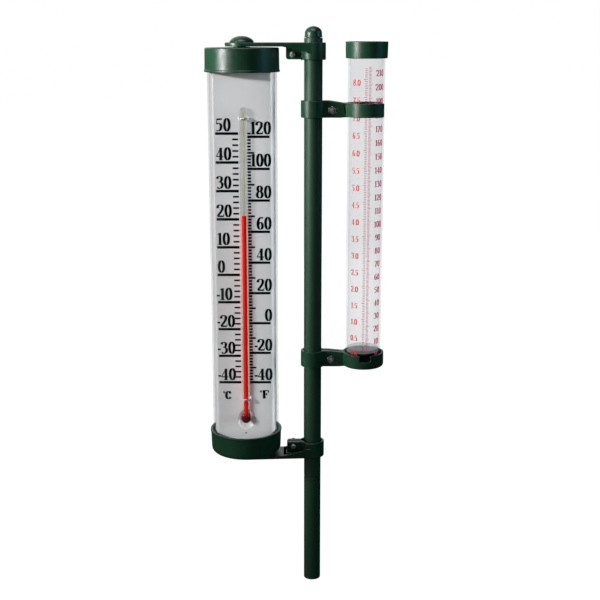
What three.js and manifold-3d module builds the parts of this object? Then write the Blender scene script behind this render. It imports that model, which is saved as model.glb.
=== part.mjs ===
// Manual rain gauge and garden thermometer, both clamped to a sectional pole.
// Millimetres, +Z up. The origin is the centre of the pole's lower end, and -Y is the front.

import * as THREE from 'three';
import { mergeVertices } from 'three/addons/utils/BufferGeometryUtils.js';
import Module from 'manifold-3d';

const wasm = await Module();
wasm.setup();

// ---------------------------------------------------------------- driving dimensions

const GAP = 0.3; // clearance between pieces that touch
const LAP = 0.1; // how far joined shapes run into each other
const OVER = 1; // how far a cutting shape runs past what it cuts
const WELD = 1e-4; // distance under which two vertices are one

const LARGE = 32; // facets round the thermometer
const MEDIUM = 24; // facets round the pole, the collars and the gauge
const SMALL = 12; // facets round the screws and the fine glass
const ARC = 4; // steps in a rounded edge

const POLE = {
  upperD: 13.5, upperBoreD: 11, topZ: 424.9,
  lowerD: 13.1, lowerBoreD: 10.6, seamZ: 87.3, stepZ: 107.7,
  couplerBoreD: 7, plugDepth: 17.6, plugRise: 20,
};
const POLE_CAP = { rimD: 13, shoulderD: 12.6, straight: 3, height: 7.9, plugDepth: 10 };

const COLLAR = { outerD: 18.2, boreD: 14.1, height: 12.3, slot: 1.4 };
const EARS = { halfWidth: 4.2, low: 0.4 };

const THERMOMETER_X = -51.9;
const UPPER_ARM_Z = 409.3; // lower face of the upper thermometer collar
const LOWER_ARM_Z = 117; // upper face of the lower thermometer collar
const STRAP = {
  thick: 2.8, eyeR: 12.3, rootR: 8.8, eyeHoleD: 6.8,
  flange: 1.6, flangeDepth: 5.2, flangeReach: 23, earReach: 19.9,
};
const SCREW_ON_STRAP = { x: -15, z: 3.8 };

const GAUGE_X = 38.8;
const UPPER_CLIP_Z = 367.9; // lower faces of the two gauge collars
const LOWER_CLIP_Z = 178.3;
const CLIP = { boreD: 27.8, ringD: 30.6, low: 0.6, high: 10.6, opening: 33, flatX: 12, slotEnd: 20.4 };
const CUP = { outerD: 31.6, low: 0.3, high: 11.3, floor: 1.6, drainD: 6 };
const NOTCH = { width: 8.3, depth: 5, turn: 3 };
const SCREW_ON_CLIP = { x: 14, z: 5.3 };

const SCREW = { shankD: 3, headD: 5.2, headHeight: 2.2, holeD: 3.6 };
const NUT = { acrossFlats: 5.5, height: 2.4 };

const TUBE = { outerD: 51, wall: 1.2, lowZ: 111.8, highZ: 415.7 };
const TOP_CAP = { rimZ: 400.8, height: 17.2, rimD: 55.2, endD: 54.2, edge: 0.8, boss: 0.5 };
const BOTTOM_CAP = { rimZ: 127.5, height: 18, rimD: 55.5, endD: 54.3, edge: 3.6, boss: 1.7 };
const CAP = { wall: 2, hubR: 5.5, hubHoleR: 3.3, bossR: 6, hubDepth: 6 };
const BUTTON = { domeR: 9, rim: 0.8, height: 4.3, shankR: 3, shankLength: 14 };

const PLATE = {
  frontY: -9, thick: 1, bend: 0.7, halfFlat: 21.4, wingX: 23.7, wingY: -1,
  lowZ: 112.2, highZ: 414.8,
};
const DISH = { x: 1.1, z: 137.3, halfWidth: 6.8, halfHeight: 8, wall: 1, depth: 3.2 };
const GLASS = { x: 0.8, outerR: 2.75, boreR: 1.7, topZ: 376.1, bulbZ: 139.1, bulbR: 4.4, bulbBoreR: 3.8 };
const SPIRIT = { topZ: 297.1, columnR: 1.4, bulbR: 3.5 };
const CLIPS = { lowerZ: 154.7, upperZ: 368, width: 1.4, thick: 0.6, legY: -7.2 };

const GAUGE_TUBE = { outerD: 27, wall: 1.2, lowZ: 180.5, floorZ: 192.5, floor: 1.8, highZ: 420.5 };
const MOUTH = { lowZ: 410.4, highZ: 422.3, lowD: 30.4, highD: 30.9, edge: 0.5 };

// ---------------------------------------------------------------- materials

function material(color, roughness, metalness = 0, opacity = 1) {
  return new THREE.MeshStandardMaterial({
    color, roughness, metalness, opacity, transparent: opacity < 1,
  });
}

const greenPlastic = material(0x1d4a33, 0.3);
const clearPlastic = material(0xe4e8ea, 0.1, 0, 0.35);
const whitePlate = material(0xc9cad0, 0.45);
const clearGlass = material(0xeeeeee, 0.05, 0, 0.35);
const redSpirit = material(0xd2200f, 0.2);
const steel = material(0x9a9c9c, 0.35, 1);

// ---------------------------------------------------------------- shape helpers

// A closed geometry as a solid that can be joined and cut.
function solid(geometry) {
  geometry.deleteAttribute('normal');
  geometry.deleteAttribute('uv');
  const welded = mergeVertices(geometry, WELD);
  const corners = welded.index.array;
  const triangles = [];
  for (let i = 0; i < corners.length; i += 3) {
    const [a, b, c] = [corners[i], corners[i + 1], corners[i + 2]];
    if (a !== b && b !== c && c !== a) triangles.push(a, b, c);
  }
  return new wasm.Manifold(new wasm.Mesh({
    numProp: 3,
    vertProperties: new Float32Array(welded.attributes.position.array),
    triVerts: new Uint32Array(triangles),
  }));
}

function meshOf(name, shape, finish) {
  const { vertProperties, triVerts } = shape.getMesh();
  const geometry = new THREE.BufferGeometry();
  geometry.setAttribute('position', new THREE.BufferAttribute(vertProperties, 3));
  geometry.setIndex(new THREE.BufferAttribute(triVerts, 1));
  geometry.computeVertexNormals();
  const mesh = new THREE.Mesh(geometry, finish);
  mesh.name = name;
  return mesh;
}

// A profile of [radius, z] points, listed anticlockwise, turned about the Z axis.
function turned(profile, facets) {
  const points = profile.map(([radius, z]) => new THREE.Vector2(radius, z));
  return solid(new THREE.LatheGeometry(points, facets).rotateX(Math.PI / 2));
}

function ring(outerR, innerR, lowZ, highZ, facets) {
  return turned([
    [innerR, lowZ], [outerR, lowZ], [outerR, highZ], [innerR, highZ], [innerR, lowZ],
  ], facets);
}

function disc(radius, lowZ, highZ, facets) {
  return turned([[0, lowZ], [radius, lowZ], [radius, highZ], [0, highZ]], facets);
}

// Points of an arc in [radius, z], for rounded edges and domes.
function arcPoints(centreR, centreZ, radiusR, radiusZ, fromDegrees, toDegrees, steps) {
  const points = [];
  for (let i = 0; i <= steps; i += 1) {
    const angle = THREE.MathUtils.degToRad(fromDegrees + (toDegrees - fromDegrees) * i / steps);
    points.push([centreR + radiusR * Math.cos(angle), centreZ + radiusZ * Math.sin(angle)]);
  }
  return points;
}

function block(lowX, highX, lowY, highY, lowZ, highZ) {
  const geometry = new THREE.BoxGeometry(highX - lowX, highY - lowY, highZ - lowZ);
  return solid(geometry.translate((lowX + highX) / 2, (lowY + highY) / 2, (lowZ + highZ) / 2));
}

// A rod along Y. Six facets make a hexagon with a corner at the top.
function crossRod(radius, x, z, frontY, backY, facets = SMALL) {
  const geometry = new THREE.CylinderGeometry(radius, radius, backY - frontY, facets);
  return solid(geometry.translate(x, (frontY + backY) / 2, z));
}

function polygon(points) {
  return new THREE.Shape(points.map(([x, y]) => new THREE.Vector2(x, y)));
}

// An outline seen from above, from lowZ to highZ.
function fromAbove(outline, lowZ, highZ) {
  const settings = { depth: highZ - lowZ, bevelEnabled: false, curveSegments: MEDIUM / 2 };
  return solid(new THREE.ExtrudeGeometry(outline, settings).translate(0, 0, lowZ));
}

// An outline in X and Z seen from the front, from frontY to backY.
function fromFront(outline, frontY, backY) {
  const settings = { depth: backY - frontY, bevelEnabled: false, curveSegments: MEDIUM / 2 };
  const geometry = new THREE.ExtrudeGeometry(outline, settings);
  return solid(geometry.rotateX(Math.PI / 2).translate(0, backY, 0));
}

// Two circles on the X axis and the tangents that join them.
function linkOutline(farX, farR, rootR) {
  const lean = Math.acos((farR - rootR) / Math.abs(farX));
  const outline = new THREE.Shape();
  outline.absarc(0, 0, rootR, -lean, lean, false);
  outline.absarc(farX, 0, farR, lean, 2 * Math.PI - lean, false);
  return outline;
}

// ---------------------------------------------------------------- pole

function poleCap() {
  const shoulderR = POLE_CAP.shoulderD / 2;
  const plugR = POLE.upperBoreD / 2 - GAP;
  const domeHeight = POLE_CAP.height - POLE_CAP.straight;
  const profile = [
    [0, -POLE_CAP.plugDepth], [plugR, -POLE_CAP.plugDepth], [plugR, 0], [POLE_CAP.rimD / 2, 0],
    ...arcPoints(0, POLE_CAP.straight, shoulderR, domeHeight, 0, 90, 2 * ARC),
  ];
  profile[profile.length - 1][0] = 0;
  return turned(profile, MEDIUM);
}

function poleTube(outerD, boreD, lowZ, highZ) {
  return ring(outerD / 2, boreD / 2, lowZ, highZ, MEDIUM);
}

// The neck between the two tubes, with a plug up into one and down into the other.
function poleCoupler() {
  const boreR = POLE.couplerBoreD / 2;
  const lowPlugR = POLE.lowerBoreD / 2 - GAP;
  const highPlugR = POLE.upperBoreD / 2 - GAP;
  const neckLow = POLE.seamZ + GAP;
  const neckHigh = POLE.stepZ;
  return turned([
    [boreR, POLE.seamZ - POLE.plugDepth], [lowPlugR, POLE.seamZ - POLE.plugDepth],
    [lowPlugR, neckLow], [POLE.lowerD / 2, neckLow], [POLE.lowerD / 2, neckHigh],
    [highPlugR, neckHigh], [highPlugR, neckHigh + POLE.plugRise],
    [boreR, neckHigh + POLE.plugRise], [boreR, POLE.seamZ - POLE.plugDepth],
  ], MEDIUM);
}

// ---------------------------------------------------------------- brackets

function collarBore() {
  return disc(COLLAR.boreD / 2, -OVER, COLLAR.height + OVER, MEDIUM);
}

function collar() {
  return disc(COLLAR.outerD / 2, 0, COLLAR.height, MEDIUM);
}

// The thermometer's arm: a flat strap with an eye, flanges along its edges and two clamp ears.
function thermometerBracket() {
  const strapLow = COLLAR.height - STRAP.thick;
  const outline = (inset) => linkOutline(THERMOMETER_X, STRAP.eyeR - inset, STRAP.rootR - inset);
  const strap = fromAbove(outline(0), strapLow, COLLAR.height);
  const edges = fromAbove(outline(0), 0, strapLow + LAP)
    .subtract(fromAbove(outline(STRAP.flange), -OVER, COLLAR.height + OVER));
  const wedge = fromFront(polygon([
    [-STRAP.flangeReach, strapLow + LAP], [0, strapLow - STRAP.flangeDepth], [0, strapLow + LAP],
  ]), -STRAP.eyeR - OVER, STRAP.eyeR + OVER);
  const ears = block(
    -STRAP.earReach, -COLLAR.boreD / 2, -EARS.halfWidth, EARS.halfWidth, EARS.low, strapLow + LAP,
  );
  const slot = block(
    -STRAP.earReach - OVER, 0, -COLLAR.slot / 2, COLLAR.slot / 2, -OVER, strapLow,
  );
  const eyeHole = disc(STRAP.eyeHoleD / 2, -OVER, COLLAR.height + OVER, SMALL)
    .translate(THERMOMETER_X, 0, 0);
  const screwHole = crossRod(
    SCREW.holeD / 2, SCREW_ON_STRAP.x, SCREW_ON_STRAP.z, -EARS.halfWidth - OVER, EARS.halfWidth + OVER,
  );
  return collar().add(strap).add(edges.intersect(wedge)).add(ears)
    .subtract(collarBore()).subtract(slot).subtract(eyeHole).subtract(screwHole);
}

// The gauge's arm: two clamp ears that carry a holder, with a hexagonal seat for the nut.
function gaugeArm(holder, holderHigh) {
  const endX = GAUGE_X - CLIP.boreD / 2 + OVER;
  const arm = fromFront(polygon([
    [COLLAR.boreD / 2, 0], [CLIP.slotEnd, 0], [endX, CLIP.low], [endX, holderHigh],
    [CLIP.flatX, COLLAR.height], [COLLAR.boreD / 2, COLLAR.height],
  ]), -EARS.halfWidth, EARS.halfWidth);
  const slot = block(
    0, CLIP.slotEnd, -COLLAR.slot / 2, COLLAR.slot / 2, -OVER, COLLAR.height + OVER,
  );
  const screwHole = crossRod(
    SCREW.holeD / 2, SCREW_ON_CLIP.x, SCREW_ON_CLIP.z, -EARS.halfWidth - OVER, EARS.halfWidth + OVER,
  );
  const seatR = (NUT.acrossFlats / 2 + GAP) / Math.cos(Math.PI / 6);
  const nutSeat = crossRod(
    seatR, SCREW_ON_CLIP.x, SCREW_ON_CLIP.z, -EARS.halfWidth - OVER, -EARS.halfWidth + NUT.height, 6,
  );
  const tubeSpace = disc(CLIP.boreD / 2, CUP.low + CUP.floor, COLLAR.height + OVER, MEDIUM)
    .translate(GAUGE_X, 0, 0);
  return collar().add(arm).add(holder).subtract(tubeSpace)
    .subtract(collarBore()).subtract(slot).subtract(screwHole).subtract(nutSeat);
}

// The upper holder is a springy C that is open on the side away from the pole.
function gaugeUpperBracket() {
  const reach = CLIP.ringD;
  const spread = reach * Math.tan(THREE.MathUtils.degToRad(CLIP.opening));
  const band = disc(CLIP.ringD / 2, CLIP.low, CLIP.high, MEDIUM).translate(GAUGE_X, 0, 0);
  const mouth = fromAbove(polygon([
    [GAUGE_X, 0], [GAUGE_X + reach, -spread], [GAUGE_X + reach, spread],
  ]), -OVER, COLLAR.height + OVER);
  const through = disc(CLIP.boreD / 2, -OVER, COLLAR.height, MEDIUM).translate(GAUGE_X, 0, 0);
  return gaugeArm(band, CLIP.high).subtract(through).subtract(mouth);
}

// The lower holder is a cup with a drain hole and a notch in its rim.
function gaugeLowerBracket() {
  const cup = disc(CUP.outerD / 2, CUP.low, CUP.high, MEDIUM).translate(GAUGE_X, 0, 0);
  const drain = disc(CUP.drainD / 2, -OVER, COLLAR.height, SMALL).translate(GAUGE_X, 0, 0);
  const notchBox = new THREE.BoxGeometry(NOTCH.width, CUP.outerD / 2, NOTCH.depth * 2);
  notchBox.translate(0, -CUP.outerD / 2, CUP.high);
  notchBox.rotateZ(THREE.MathUtils.degToRad(NOTCH.turn));
  const notch = solid(notchBox.translate(GAUGE_X, 0, 0));
  return gaugeArm(cup, CUP.high).subtract(drain).subtract(notch);
}

// ---------------------------------------------------------------- fasteners

// A pan-head screw along Z, its head below zero and its shank above.
function screw(length) {
  const headR = SCREW.headD / 2;
  const crown = arcPoints(0, -SCREW.headHeight / 2, headR, SCREW.headHeight / 2, -90, 0, ARC);
  crown[0][0] = 0;
  return turned([
    ...crown, [headR, 0], [SCREW.shankD / 2, 0], [SCREW.shankD / 2, length], [0, length],
  ], SMALL);
}

// A hexagon nut whose front face is at y = 0.
function nut() {
  const outerR = NUT.acrossFlats / 2 / Math.cos(Math.PI / 6);
  const hole = crossRod(SCREW.holeD / 2, 0, 0, -OVER, NUT.height + OVER);
  return crossRod(outerR, 0, 0, 0, NUT.height, 6).subtract(hole);
}

// ---------------------------------------------------------------- thermometer

function clearTube(tube) {
  return ring(tube.outerD / 2, tube.outerD / 2 - tube.wall, tube.lowZ, tube.highZ, LARGE);
}

// A cap that opens downwards, with a hub for the pivot inside and a low boss outside.
function thermometerCap({ height, rimD, endD, edge, boss }) {
  const skirtR = TUBE.outerD / 2 + GAP;
  const ceiling = height - CAP.wall;
  const endR = endD / 2;
  return turned([
    [CAP.hubHoleR, CAP.hubDepth], [CAP.hubR, CAP.hubDepth], [CAP.hubR, ceiling],
    [skirtR, ceiling], [skirtR, 0], [rimD / 2, 0],
    ...arcPoints(endR - edge, height - edge, edge, edge, 0, 90, ARC),
    [CAP.bossR, height], [CAP.bossR, height + boss], [CAP.hubHoleR, height + boss],
    [CAP.hubHoleR, CAP.hubDepth],
  ], LARGE);
}

// The pivot: a domed head above zero and a shank below.
function pivotButton() {
  const crown = arcPoints(0, BUTTON.rim, BUTTON.domeR, BUTTON.height - BUTTON.rim, 0, 90, 2 * ARC);
  crown[crown.length - 1][0] = 0;
  return turned([
    [0, -BUTTON.shankLength], [BUTTON.shankR, -BUTTON.shankLength], [BUTTON.shankR, 0],
    [BUTTON.domeR, 0], ...crown,
  ], MEDIUM);
}

function dishOutline(margin) {
  const outline = new THREE.Shape();
  outline.absellipse(
    DISH.x, DISH.z, DISH.halfWidth + margin, DISH.halfHeight + margin, 0, 2 * Math.PI, false,
  );
  return outline;
}

// A bent white plate: flat front, two wings, a dish behind the bulb and slots for the clips.
function scalePlate() {
  const { frontY, thick, bend, halfFlat, wingX, wingY } = PLATE;
  const sheet = fromAbove(polygon([
    [-wingX, wingY], [-halfFlat, frontY], [halfFlat, frontY], [wingX, wingY],
    [wingX - thick, wingY], [halfFlat - bend, frontY + thick],
    [bend - halfFlat, frontY + thick], [thick - wingX, wingY],
  ]), PLATE.lowZ, PLATE.highZ);
  const dishBack = frontY + DISH.depth + DISH.wall;
  let plate = sheet.add(fromFront(dishOutline(DISH.wall), frontY + thick / 2, dishBack))
    .subtract(fromFront(dishOutline(0), frontY - OVER, frontY + DISH.depth));
  const legX = GLASS.outerR + GAP + CLIPS.thick / 2;
  const halfSlot = CLIPS.thick / 2 + GAP;
  const halfHeight = CLIPS.width / 2 + GAP;
  for (const z of [CLIPS.lowerZ, CLIPS.upperZ]) {
    for (const x of [GLASS.x - legX, GLASS.x + legX]) {
      plate = plate.subtract(block(
        x - halfSlot, x + halfSlot, frontY - OVER, frontY + thick + OVER, z - halfHeight, z + halfHeight,
      ));
    }
  }
  return plate;
}

// The angle up a bulb, in degrees, at which a neck of a smaller radius leaves it.
function neckAngle(neckR, bulbR) {
  return THREE.MathUtils.radToDeg(Math.acos(neckR / bulbR));
}

// The fine glass, open at its top end, with a bulb round the spirit at its lower end.
function capillaryGlass() {
  const { outerR, boreR, topZ, bulbZ, bulbR, bulbBoreR } = GLASS;
  const outside = arcPoints(0, bulbZ, bulbR, bulbR, -90, neckAngle(outerR, bulbR), 2 * ARC);
  const shoulder = neckAngle(boreR, bulbBoreR);
  const inside = arcPoints(0, bulbZ, bulbBoreR, bulbBoreR, shoulder, -90, 2 * ARC);
  outside[0][0] = 0;
  inside[inside.length - 1][0] = 0;
  return turned([...outside, [outerR, topZ], [boreR, topZ], ...inside], SMALL);
}

function spiritColumn() {
  const { topZ, columnR, bulbR } = SPIRIT;
  const shoulder = neckAngle(columnR, bulbR);
  const bulb = arcPoints(0, GLASS.bulbZ, bulbR, bulbR, -90, shoulder, 2 * ARC);
  bulb[0][0] = 0;
  return turned([...bulb, [columnR, topZ], [0, topZ]], SMALL);
}

// A staple over the glass whose two legs pass through the plate.
function capillaryClip(glassY) {
  const innerR = GLASS.outerR + GAP;
  const outerR = innerR + CLIPS.thick;
  const outline = new THREE.Shape();
  outline.moveTo(-outerR, CLIPS.legY);
  outline.lineTo(-outerR, glassY);
  outline.absarc(0, glassY, outerR, Math.PI, 2 * Math.PI, false);
  outline.lineTo(outerR, CLIPS.legY);
  outline.lineTo(innerR, CLIPS.legY);
  outline.lineTo(innerR, glassY);
  outline.absarc(0, glassY, innerR, 2 * Math.PI, Math.PI, true);
  outline.lineTo(-innerR, CLIPS.legY);
  return fromAbove(outline, -CLIPS.width / 2, CLIPS.width / 2);
}

// ---------------------------------------------------------------- rain gauge

// The measuring tube: the wall runs on below the floor as a skirt that stands in the cup.
function gaugeTube() {
  const outerR = GAUGE_TUBE.outerD / 2;
  const innerR = outerR - GAUGE_TUBE.wall;
  const underside = GAUGE_TUBE.floorZ - GAUGE_TUBE.floor;
  return turned([
    [0, underside], [innerR, underside], [innerR, GAUGE_TUBE.lowZ], [outerR, GAUGE_TUBE.lowZ],
    [outerR, GAUGE_TUBE.highZ], [innerR, GAUGE_TUBE.highZ], [innerR, GAUGE_TUBE.floorZ],
    [0, GAUGE_TUBE.floorZ],
  ], MEDIUM);
}

// The ring round the open mouth, with a lip over the tube's end.
function gaugeCollar() {
  const tubeR = GAUGE_TUBE.outerD / 2;
  const lipR = tubeR - GAUGE_TUBE.wall;
  const highR = MOUTH.highD / 2;
  return turned([
    [tubeR + GAP, MOUTH.lowZ], [MOUTH.lowD / 2, MOUTH.lowZ], [highR, MOUTH.highZ - MOUTH.edge],
    [highR - MOUTH.edge, MOUTH.highZ], [lipR, MOUTH.highZ], [lipR, GAUGE_TUBE.highZ + GAP],
    [tubeR + GAP, GAUGE_TUBE.highZ + GAP], [tubeR + GAP, MOUTH.lowZ],
  ], MEDIUM);
}

// ---------------------------------------------------------------- assembly

function place(mesh, x, y, z, turnX = 0) {
  mesh.position.set(x, y, z);
  mesh.rotation.x = turnX;
  return mesh;
}

function buildPole() {
  const group = new THREE.Group();
  const upper = poleTube(POLE.upperD, POLE.upperBoreD, POLE.stepZ + GAP, POLE.topZ);
  const lower = poleTube(POLE.lowerD, POLE.lowerBoreD, 0, POLE.seamZ);
  group.add(
    place(meshOf('pole_cap', poleCap(), greenPlastic), 0, 0, POLE.topZ + GAP),
    meshOf('pole_upper', upper, greenPlastic),
    meshOf('pole_coupler', poleCoupler(), greenPlastic),
    meshOf('pole_lower', lower, greenPlastic),
  );
  return group;
}

// The lower arm is the upper one turned over. Both screws have their heads at the front.
function buildThermometerArms() {
  const group = new THREE.Group();
  const headY = -EARS.halfWidth - GAP;
  const nutY = EARS.halfWidth + GAP;
  const length = 2 * nutY + NUT.height + GAP;
  const arms = [
    { name: 'thermometer_upper', z: UPPER_ARM_Z, turn: 0, screwZ: UPPER_ARM_Z + SCREW_ON_STRAP.z },
    { name: 'thermometer_lower', z: LOWER_ARM_Z, turn: Math.PI, screwZ: LOWER_ARM_Z - SCREW_ON_STRAP.z },
  ];
  for (const { name, z, turn, screwZ } of arms) {
    const bolt = meshOf(`${name}_clamp_screw`, screw(length), steel);
    group.add(
      place(meshOf(`${name}_bracket`, thermometerBracket(), greenPlastic), 0, 0, z, turn),
      place(bolt, SCREW_ON_STRAP.x, headY, screwZ, -Math.PI / 2),
      place(meshOf(`${name}_clamp_nut`, nut(), steel), SCREW_ON_STRAP.x, nutY, screwZ),
    );
  }
  return group;
}

function buildThermometer() {
  const group = new THREE.Group();
  const strapTop = UPPER_ARM_Z + COLLAR.height;
  const strapBottom = LOWER_ARM_Z - COLLAR.height;
  const glassY = PLATE.frontY - GAP - GLASS.outerR;
  const clip = (name, z) => place(meshOf(name, capillaryClip(glassY), steel), GLASS.x, 0, z);
  group.add(
    meshOf('thermometer_tube', clearTube(TUBE), clearPlastic),
    place(meshOf('thermometer_top_cap', thermometerCap(TOP_CAP), greenPlastic), 0, 0, TOP_CAP.rimZ),
    place(
      meshOf('thermometer_bottom_cap', thermometerCap(BOTTOM_CAP), greenPlastic),
      0, 0, BOTTOM_CAP.rimZ, Math.PI,
    ),
    place(meshOf('upper_pivot_button', pivotButton(), greenPlastic), 0, 0, strapTop + GAP),
    place(meshOf('lower_pivot_button', pivotButton(), greenPlastic), 0, 0, strapBottom - GAP, Math.PI),
    meshOf('scale_plate', scalePlate(), whitePlate),
    place(meshOf('capillary_glass', capillaryGlass(), clearGlass), GLASS.x, glassY, 0),
    place(meshOf('spirit_column', spiritColumn(), redSpirit), GLASS.x, glassY, 0),
    clip('lower_capillary_clip', CLIPS.lowerZ),
    clip('upper_capillary_clip', CLIPS.upperZ),
  );
  group.position.x = THERMOMETER_X;
  return group;
}

// Both nuts sit in their seats at the front, and the screws come from behind.
function buildGaugeBrackets() {
  const group = new THREE.Group();
  const headY = EARS.halfWidth + GAP;
  const nutY = -EARS.halfWidth - GAP;
  const length = headY - nutY + GAP;
  const clips = [
    { name: 'gauge_upper', z: UPPER_CLIP_Z, shape: gaugeUpperBracket() },
    { name: 'gauge_lower', z: LOWER_CLIP_Z, shape: gaugeLowerBracket() },
  ];
  for (const { name, z, shape } of clips) {
    const screwZ = z + SCREW_ON_CLIP.z;
    const bolt = meshOf(`${name}_clamp_screw`, screw(length), steel);
    group.add(
      place(meshOf(`${name}_bracket`, shape, greenPlastic), 0, 0, z),
      place(bolt, SCREW_ON_CLIP.x, headY, screwZ, Math.PI / 2),
      place(meshOf(`${name}_clamp_nut`, nut(), steel), SCREW_ON_CLIP.x, nutY, screwZ),
    );
  }
  return group;
}

function buildGauge() {
  const group = new THREE.Group();
  group.add(
    meshOf('gauge_tube', gaugeTube(), clearPlastic),
    meshOf('gauge_collar', gaugeCollar(), greenPlastic),
  );
  group.position.x = GAUGE_X;
  return group;
}

const model = new THREE.Group();
model.add(
  buildPole(), buildThermometerArms(), buildThermometer(), buildGaugeBrackets(), buildGauge(),
);
model.updateMatrixWorld(true);

export default model;
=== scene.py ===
"""Manual rain gauge and thermometer on a pole: the visual model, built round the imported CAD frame.

Lengths are in millimetres in the frame's own axes, and become metres in show(). Stage lengths are in metres.
"""

import math
from collections import namedtuple

import bmesh
import bpy
from mathutils import Matrix, Vector


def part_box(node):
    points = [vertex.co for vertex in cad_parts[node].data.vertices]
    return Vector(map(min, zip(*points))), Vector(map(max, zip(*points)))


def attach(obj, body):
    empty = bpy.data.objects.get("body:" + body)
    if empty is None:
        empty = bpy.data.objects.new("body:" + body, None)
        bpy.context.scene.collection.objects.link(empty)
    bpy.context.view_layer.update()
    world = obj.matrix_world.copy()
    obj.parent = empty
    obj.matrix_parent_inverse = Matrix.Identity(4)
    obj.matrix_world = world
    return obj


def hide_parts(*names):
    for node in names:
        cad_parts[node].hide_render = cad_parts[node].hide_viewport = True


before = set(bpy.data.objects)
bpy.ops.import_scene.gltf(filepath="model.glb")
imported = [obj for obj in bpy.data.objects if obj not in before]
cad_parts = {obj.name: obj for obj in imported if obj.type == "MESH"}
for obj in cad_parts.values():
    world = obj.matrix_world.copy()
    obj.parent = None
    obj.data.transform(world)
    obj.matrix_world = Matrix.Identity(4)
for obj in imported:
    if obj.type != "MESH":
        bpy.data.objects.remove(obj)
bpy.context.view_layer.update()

MM = 0.001

# ---------------------------------------------------------------- driving dimensions

ROUND = 112  # facets round the large pieces
FINE = 64  # facets round the pole, collars and gauge
SMALL = 32  # facets round screws and the fine glass
ARC_STEP = math.radians(18)  # turn between two points of a rounded corner
SMOOTH_ANGLE = math.radians(32)  # edges sharper than this stay sharp

POLE = {"wall": 1.25, "edge": 0.35, "cap_straight": 3.0, "cap_plug": 10.0, "cap_lip": 0.25}
COUPLER = {"bore": 3.5, "plug_high": 5.2, "plug_low": 5.0, "edge": 0.4}

COLLAR = {"radius": 9.1, "bore": 7.05, "height": 12.3, "slot": 1.4}
EARS = {"half": 4.2, "low": 0.4, "corner": 1.8}
EASE = 0.55  # radius of a moulded edge
BRACKET_EASE = 0.35  # the same on the gauge's brackets
FIT = 0.3  # clearance between pieces that fit together
LAP = 0.1  # how far joined solids run into each other
OVER = 1.0  # how far a cutting solid runs past what it cuts
STRAP = {
    "thick": 2.8, "eye": 12.3, "root": 8.8, "hole": 3.4, "flange": 1.6,
    "flange_depth": 5.2, "flange_reach": 23.0, "ear_reach": 19.9,
}
STRAP_SCREW = {"x": -15.0, "z": 3.8}
CLIP = {
    "bore": 13.9, "ring": 15.3, "low": 0.6, "high": 10.6, "opening": 33.0,
    "flat_x": 12.0, "slot_end": 20.4, "blend": 5.0,
}
CUP = {"radius": 15.8, "low": 0.3, "high": 11.3, "floor": 1.6, "drain": 3.0, "flare": 0.3, "edge": 2.0}
NOTCH = {"width": 8.3, "depth": 5.0, "turn": 3.0, "corner": 1.2}
CLIP_SCREW = {"x": 14.0, "z": 5.3}
SCREW = {
    "shank": 1.5, "head": 2.15, "head_height": 2.2, "hole": 1.8, "pitch": 0.5, "thread": 0.25,
    "rim": 0.35, "cross_reach": 1.3, "cross_half": 0.28, "cross_depth": 1.25, "pit": 0.5, "pit_depth": 1.5,
}
NUT = {"flats": 5.5, "height": 2.4, "bore": 1.62, "flare": 0.78, "crown": 0.42, "face": 0.97}

TUBE_WALL = 1.2
TUBE_EDGE = 0.4
CAP = {
    "wall": 2.0, "hub": 5.5, "hub_hole": 3.3, "boss": 6.0, "hub_depth": 6.0,
    "bead": 0.35, "bead_low": 1.3, "bead_high": 1.8,
}
TOP_CAP = {"boss": 0.5, "edge": 0.9, "draft": 0.25}
BOTTOM_CAP = {"boss": 1.7, "edge": 3.8, "draft": 0.6}
BUTTON = {"radius": 8.8, "rim": 0.5, "start": 22.0, "shank": 3.0, "shank_length": 14.0, "low_height": 2.8}

PLATE = {"thick": 1.0, "half_flat": 21.4, "wing_y": -1.0, "bend": 1.6}
DISH = {"x": 1.1, "z": 137.3, "half_width": 6.8, "half_height": 8.0, "depth": 3.2, "wall": 1.0}
GLASS = {"radius": 2.75, "bulb": 3.9, "shoulder": 5.0, "bore": 0.45, "bulb_room": 4.4}
SPIRIT = {"radius": 1.15, "bulb": 2.9, "shoulder": 4.6}
STAPLE = {"thick": 0.6, "gap": 0.3, "width": 0.9}

GAUGE = {"wall": 1.2, "floor_z": 192.5, "floor": 1.8, "edge": 0.35}
MOUTH = {"taper": 0.25, "edge": 0.6, "funnel": 0.8}

# Where the printed scales stand: the plate reads in degrees, the tube in rain.
FREEZING_Z = 251.5
PER_CELSIUS = 2.108
INCH = 25.4
INK = 0.07  # how far the print stands out
INK_SUNK = 0.02  # how far its back lies under the surface
PLATE_FIGURES = {"size": 9.4, "lift": 1.7, "boldness": 1.08, "lead": 0.2, "minus_lead": -1.0}
CELSIUS = {"left": -19.7, "right": -2.9, "tick": 4.4, "bar": 1.95, "thin": 1.3}
FAHRENHEIT = {"left": 3.7, "right": 20.0, "text": 21.2, "long": 5.0, "tick": 2.5, "bar": 1.9, "thin": 1.35}
UNITS = {"size": 6.4, "z": 153.6, "boldness": 1.6, "left": -17.0, "right": 11.4, "step": 0.6}
# "turn" is how far the rain scale stands round the tube from the front, in degrees.
RAIN = {"half_gap": 0.45, "long": 2.6, "tick": 1.8, "thin": 0.34, "boldness": 0.95, "turn": 2.5}
# Each side of the rain scale: side, number of marks, spacing, where its figures centre, their size and drop.
INCHES = (-1, 167, INCH / 20, -8.8, 4.4, 4.4)
MILLIMETRES = (1, 213, 1, 9.7, 4.6, 4.5)

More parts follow.
